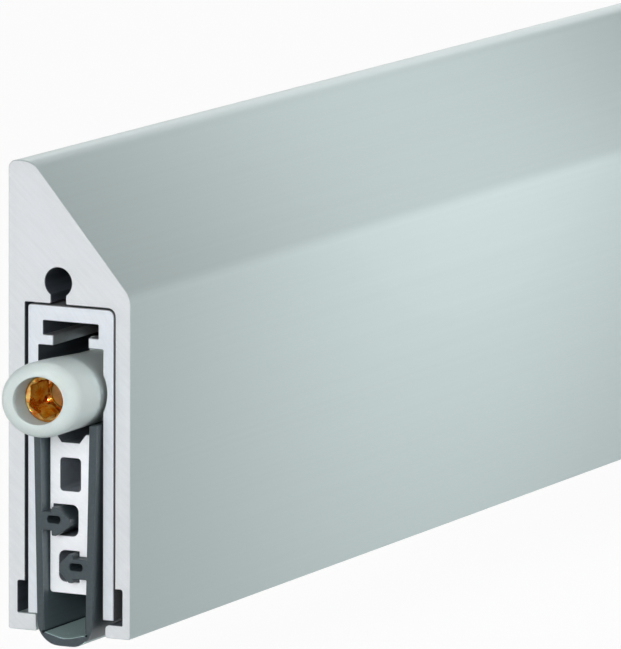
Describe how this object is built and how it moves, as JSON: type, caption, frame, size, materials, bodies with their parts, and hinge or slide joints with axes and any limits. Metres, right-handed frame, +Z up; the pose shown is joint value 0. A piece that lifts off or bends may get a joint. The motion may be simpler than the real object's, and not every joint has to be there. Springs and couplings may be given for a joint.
{
  "type": "automatic door bottom seal",
  "caption": "Surface-mounted automatic door bottom seal: a sloped aluminium cover holds a guide channel, a push plunger and a drop bar that lowers a U-shaped rubber seal.",
  "frame": {"origin": "middle of the length, on the cover's back face where it meets the door leaf, level with the cover's feet", "axes": "+X along the door away from the plunger, +Y into the door leaf, +Z up"},
  "size_m": [0.3475, 0.0175, 0.0617],
  "materials": {
    "anodised_aluminium": "satin anodised",
    "mill_aluminium": "mill finish, saw-cut ends",
    "bright_aluminium": "bright mill finish",
    "grey_nylon": "moulded, fine matt",
    "brass": "turned",
    "steel": "zinc plated",
    "spring_steel": "drawn wire",
    "black_acetal": "moulded",
    "seal_rubber": "extruded, silky matt"
  },
  "bodies": {
    "cover": {"cover": "anodised_aluminium", "guide_channel": "mill_aluminium", "rod_bush": "black_acetal", "near_guide_block": "black_acetal", "far_guide_block": "black_acetal", "block_pins": "steel"},
    "rod": {"push_rod": "steel", "spring_collar": "steel", "return_spring": "spring_steel", "lift_strip": "steel", "strip_rivet": "steel"},
    "plunger": {"plunger_head": "grey_nylon"},
    "adjuster": {"adjusting_screw": "brass"},
    "bar": {"drop_bar": "bright_aluminium", "seal": "seal_rubber", "near_follower": "steel", "far_follower": "steel", "near_follower_pin": "steel", "far_follower_pin": "steel", "saddle_rivets": "steel"}
  },
  "joints": [
    {"name": "rod_slide", "type": "slide", "parent": "cover", "child": "rod", "axis": [1, 0, 0], "range_m": [0, 0.007], "stiffness_N_per_m": 250, "springref_m": -0.02, "deforming": ["return_spring"]},
    {"name": "bar_drop", "type": "slide", "parent": "cover", "child": "bar", "axis": [0, 0, -1], "range_m": [0, 0.009]},
    {"name": "plunger_adjust", "type": "slide", "parent": "rod", "child": "plunger", "axis": [1, 0, 0], "range_m": [-0.0014, 0.0014]},
    {"name": "adjuster_turn", "type": "hinge", "parent": "plunger", "child": "adjuster", "pos_m": [-0.1744, -0.00895, 0.0314], "axis": [1, 0, 0], "range_deg": [-720.1, 720.1]}
  ],
  "couplings": [
    {"joint": "bar_drop", "follows": "rod_slide", "ratio": 1.2857},
    {"joint": "adjuster_turn", "follows": "plunger_adjust", "rad_per_m": 8976}
  ]
}
